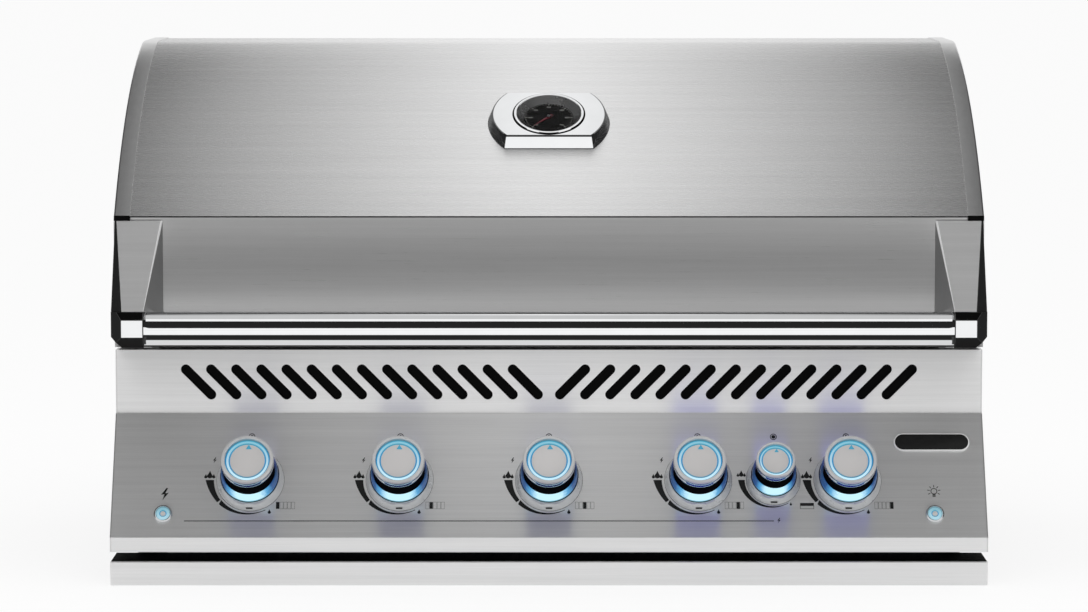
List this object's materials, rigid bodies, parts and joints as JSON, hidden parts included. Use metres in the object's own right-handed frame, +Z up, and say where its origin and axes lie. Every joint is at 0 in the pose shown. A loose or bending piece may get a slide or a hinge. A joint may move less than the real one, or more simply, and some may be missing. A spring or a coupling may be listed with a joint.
{
  "type": "built-in gas grill",
  "caption": "Built-in gas grill with a curved hinged lid on a round bar handle, a sloping panel of lit push-and-turn knobs, and a drip tray that slides out below.",
  "frame": {"origin": "middle of the footprint of the whole grill, on the underside of the casing", "axes": "+Z up, the knobs and the handle face -Y, +X to the right seen from the front"},
  "size_m": [0.965, 0.6634, 0.586],
  "materials": {
    "brushed_steel": "brushed along the width",
    "plain_steel": "plain mill finish",
    "chrome": "polished",
    "aluminium": "pressed sheet",
    "brass": "turned",
    "tile": "fired, matte",
    "light_ring": "clear, lit from behind",
    "black_metal": "gloss black",
    "black_plastic": "moulded",
    "dial": "matte black",
    "needle": "red",
    "glass": "clear"
  },
  "bodies": {
    "grill_body": {"casing": "plain_steel", "firebox": "plain_steel", "rear_hood": "plain_steel", "rear_burner": "plain_steel", "rear_burner_tile": "tile", "fascia": "brushed_steel", "fascia_end_left": "brushed_steel", "fascia_end_right": "brushed_steel", "plaque": "black_metal", "knob_bezels": "chrome", "knob_lights": "light_ring", "gas_manifold": "plain_steel", "gas_valves": "brass", "gas_inlet": "plain_steel", "burner_1": "plain_steel", "burner_2": "plain_steel", "burner_3": "plain_steel", "burner_4": "plain_steel", "burner_5": "plain_steel", "sear_plates": "plain_steel", "cooking_grid_left": "plain_steel", "cooking_grid_middle": "plain_steel", "cooking_grid_right": "plain_steel", "warming_rack": "plain_steel", "hinge_brackets": "plain_steel", "tray_rails": "plain_steel", "button_housings": "chrome", "igniter_module": "black_plastic", "power_supply": "black_plastic"},
    "lid": {"lid_skin": "brushed_steel", "lid_front_panel": "brushed_steel", "lid_liner": "plain_steel", "lid_side_left": "brushed_steel", "lid_side_right": "brushed_steel", "handle_bracket_left": "brushed_steel", "handle_bracket_right": "brushed_steel", "handle_tube": "chrome", "handle_end_left": "chrome", "handle_end_right": "chrome", "gauge_plate": "chrome", "gauge_case": "black_metal", "gauge_dial": "dial", "gauge_glass": "glass"},
    "needle": {"gauge_needle": "needle"},
    "tray": {"tray_front": "brushed_steel", "drip_pan": "aluminium"},
    "ignition_button": {"ignition_button": "light_ring"},
    "light_button": {"light_button": "light_ring"},
    "stem_1": {"valve_stem_1": "plain_steel"},
    "knob_1": {"knob_1": "chrome"},
    "stem_2": {"valve_stem_2": "plain_steel"},
    "knob_2": {"knob_2": "chrome"},
    "stem_3": {"valve_stem_3": "plain_steel"},
    "knob_3": {"knob_3": "chrome"},
    "stem_4": {"valve_stem_4": "plain_steel"},
    "knob_4": {"knob_4": "chrome"},
    "stem_5": {"valve_stem_5": "plain_steel"},
    "knob_5": {"knob_5": "chrome"},
    "stem_rear": {"rear_valve_stem": "plain_steel"},
    "knob_rear": {"rear_knob": "chrome"}
  },
  "joints": [
    {"name": "lid_hinge", "type": "hinge", "parent": "grill_body", "child": "lid", "pos_m": [0, 0.21167, 0.3], "axis": [-1, 0, 0], "range_deg": [0, 88]},
    {"name": "needle_turn", "type": "hinge", "parent": "lid", "child": "needle", "pos_m": [0, -0.12059, 0.50097], "axis": [0, 0.521, -0.8536], "range_deg": [0, 270]},
    {"name": "tray_slide", "type": "slide", "parent": "grill_body", "child": "tray", "axis": [0, -1, 0], "range_m": [0, 0.38]},
    {"name": "ignition_push", "type": "slide", "parent": "grill_body", "child": "ignition_button", "axis": [0, 0.8572, -0.515], "range_m": [0, 0.003], "stiffness_N_per_m": 400},
    {"name": "light_push", "type": "slide", "parent": "grill_body", "child": "light_button", "axis": [0, 0.8572, -0.515], "range_m": [0, 0.003], "stiffness_N_per_m": 400},
    {"name": "knob_push_1", "type": "slide", "parent": "grill_body", "child": "stem_1", "axis": [0, 0.8572, -0.515], "range_m": [0, 0.004], "stiffness_N_per_m": 900},
    {"name": "knob_turn_1", "type": "hinge", "parent": "stem_1", "child": "knob_1", "pos_m": [-0.33, -0.26789, 0.11297], "axis": [0, -0.8572, 0.515], "range_deg": [0, 215]},
    {"name": "knob_push_2", "type": "slide", "parent": "grill_body", "child": "stem_2", "axis": [0, 0.8572, -0.515], "range_m": [0, 0.004], "stiffness_N_per_m": 900},
    {"name": "knob_turn_2", "type": "hinge", "parent": "stem_2", "child": "knob_2", "pos_m": [-0.165, -0.26789, 0.11297], "axis": [0, -0.8572, 0.515], "range_deg": [0, 215]},
    {"name": "knob_push_3", "type": "slide", "parent": "grill_body", "child": "stem_3", "axis": [0, 0.8572, -0.515], "range_m": [0, 0.004], "stiffness_N_per_m": 900},
    {"name": "knob_turn_3", "type": "hinge", "parent": "stem_3", "child": "knob_3", "pos_m": [0, -0.26789, 0.11297], "axis": [0, -0.8572, 0.515], "range_deg": [0, 215]},
    {"name": "knob_push_4", "type": "slide", "parent": "grill_body", "child": "stem_4", "axis": [0, 0.8572, -0.515], "range_m": [0, 0.004], "stiffness_N_per_m": 900},
    {"name": "knob_turn_4", "type": "hinge", "parent": "stem_4", "child": "knob_4", "pos_m": [0.165, -0.26789, 0.11297], "axis": [0, -0.8572, 0.515], "range_deg": [0, 215]},
    {"name": "knob_push_5", "type": "slide", "parent": "grill_body", "child": "stem_5", "axis": [0, 0.8572, -0.515], "range_m": [0, 0.004], "stiffness_N_per_m": 900},
    {"name": "knob_turn_5", "type": "hinge", "parent": "stem_5", "child": "knob_5", "pos_m": [0.33, -0.26789, 0.11297], "axis": [0, -0.8572, 0.515], "range_deg": [0, 215]},
    {"name": "knob_push_rear", "type": "slide", "parent": "grill_body", "child": "stem_rear", "axis": [0, 0.8572, -0.515], "range_m": [0, 0.004], "stiffness_N_per_m": 900},
    {"name": "knob_turn_rear", "type": "hinge", "parent": "stem_rear", "child": "knob_rear", "pos_m": [0.24799, -0.26789, 0.11297], "axis": [0, -0.8572, 0.515], "range_deg": [0, 215]}
  ]
}
